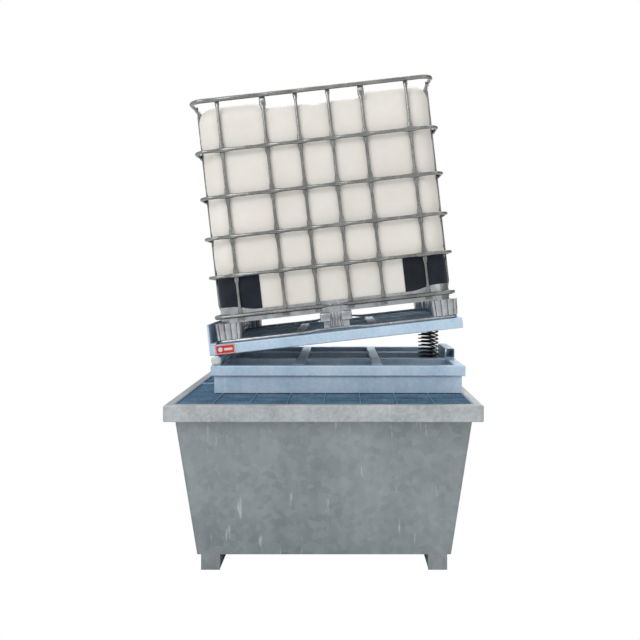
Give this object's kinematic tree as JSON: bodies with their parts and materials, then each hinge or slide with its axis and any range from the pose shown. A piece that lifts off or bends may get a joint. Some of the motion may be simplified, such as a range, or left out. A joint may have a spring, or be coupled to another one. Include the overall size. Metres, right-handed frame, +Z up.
{
  "type": "intermediate bulk container",
  "caption": "Caged plastic bulk container on a spring-loaded tilting stand over a steel spill sump with grating.",
  "frame": {"origin": "centre of the sump's square footprint, on the floor", "axes": "+X along the container's long side to the sprung end, +Y to the rear, +Z up"},
  "size_m": [1.4, 1.4, 2.3106],
  "materials": {
    "galvanised_tub": "mottled hot-dip galvanised",
    "galvanised_rim": "hot-dip galvanised, runs along the edge",
    "grating_zinc": "galvanised flat bar",
    "stand_zinc": "pale zinc, satin",
    "pin_steel": "bright turned steel",
    "spring_steel": "black coated",
    "marker_red": "plain red plate",
    "pallet_zinc": "pressed galvanised sheet",
    "cage_zinc": "galvanised tube",
    "bolt_steel": "zinc plated",
    "bottle_plastic": "blow-moulded, satin",
    "guard_plastic": "moulded black",
    "cap_plastic": "moulded black",
    "valve_plastic": "moulded dark grey",
    "seal_rubber": "soft black"
  },
  "bodies": {
    "sump": {"tub_floor": "galvanised_tub", "tub_front_wall": "galvanised_tub", "tub_right_wall": "galvanised_tub", "tub_rear_wall": "galvanised_tub", "tub_left_wall": "galvanised_tub", "sump_rim": "galvanised_rim", "grating_ledge": "galvanised_tub", "skid_left": "galvanised_tub", "skid_right": "galvanised_tub", "support_beam": "grating_zinc", "grating_front": "grating_zinc", "grating_rear": "grating_zinc", "base_skirt": "stand_zinc", "base_rim": "stand_zinc", "base_cross_tubes": "stand_zinc", "base_long_members": "stand_zinc", "lower_spring_seat": "stand_zinc", "lower_spring_spigots": "stand_zinc", "spring_front": "spring_steel", "spring_rear": "spring_steel", "rest_stop": "stand_zinc", "base_knuckles": "stand_zinc", "hinge_pin": "pin_steel", "hinge_pin_caps": "pin_steel"},
    "platform": {"platform_rim": "stand_zinc", "platform_cross_tubes": "stand_zinc", "platform_long_members": "stand_zinc", "platform_knuckles": "stand_zinc", "end_stop": "stand_zinc", "upper_spring_seat": "stand_zinc", "upper_spring_spigots": "stand_zinc", "marker_plate": "marker_red"},
    "container": {"pallet_runner": "pallet_zinc", "corner_feet": "pallet_zinc", "middle_feet": "pallet_zinc", "pallet_pan": "pallet_zinc", "pallet_ring": "cage_zinc", "cage_ring_1": "cage_zinc", "cage_ring_2": "cage_zinc", "cage_ring_3": "cage_zinc", "cage_ring_4": "cage_zinc", "top_ring": "cage_zinc", "front_uprights": "cage_zinc", "rear_uprights": "cage_zinc", "left_uprights": "cage_zinc", "right_uprights": "cage_zinc", "top_bars": "cage_zinc", "top_bar_bolts": "bolt_steel", "bottle": "bottle_plastic", "corner_guard_front_left": "guard_plastic", "corner_guard_front_right": "guard_plastic", "corner_guard_rear_left": "guard_plastic", "corner_guard_rear_right": "guard_plastic", "valve_body": "valve_plastic"},
    "lid": {"lid": "cap_plastic", "lid_gasket": "seal_rubber"},
    "vent_plug": {"vent_plug": "cap_plastic"},
    "valve_lever": {"valve_lever": "cap_plastic"},
    "outlet_cap": {"outlet_cap": "cap_plastic"}
  },
  "joints": [
    {"name": "platform_tilt", "type": "hinge", "parent": "sump", "child": "platform", "pos_m": [-0.524, 0.16, 0.922], "axis": [0, -1, 0], "range_deg": [-6.4, 0], "stiffness_Nm_per_rad": 24000, "springref_deg": 2.86, "deforming": ["spring_front", "spring_rear"]},
    {"name": "container_lift", "type": "slide", "parent": "platform", "child": "container", "axis": [-0.1115, 0, 0.9938], "range_m": [0, 0.3]},
    {"name": "lid_turn", "type": "hinge", "parent": "container", "child": "lid", "pos_m": [-0.06718, 0.16, 2.19616], "axis": [-0.1115, 0, 0.9938], "continuous": true},
    {"name": "vent_plug_turn", "type": "hinge", "parent": "lid", "child": "vent_plug", "pos_m": [-0.06941, 0.16, 2.21604], "axis": [-0.1115, 0, 0.9938], "continuous": true},
    {"name": "valve_lever_turn", "type": "hinge", "parent": "container", "child": "valve_lever", "pos_m": [-0.46908, 0.16, 1.22632], "axis": [-0.1115, 0, 0.9938], "range_deg": [0, 90]},
    {"name": "outlet_cap_turn", "type": "hinge", "parent": "container", "child": "outlet_cap", "pos_m": [-0.50226, 0.16, 1.17228], "axis": [-0.9938, 0, -0.1115], "continuous": true}
  ]
}
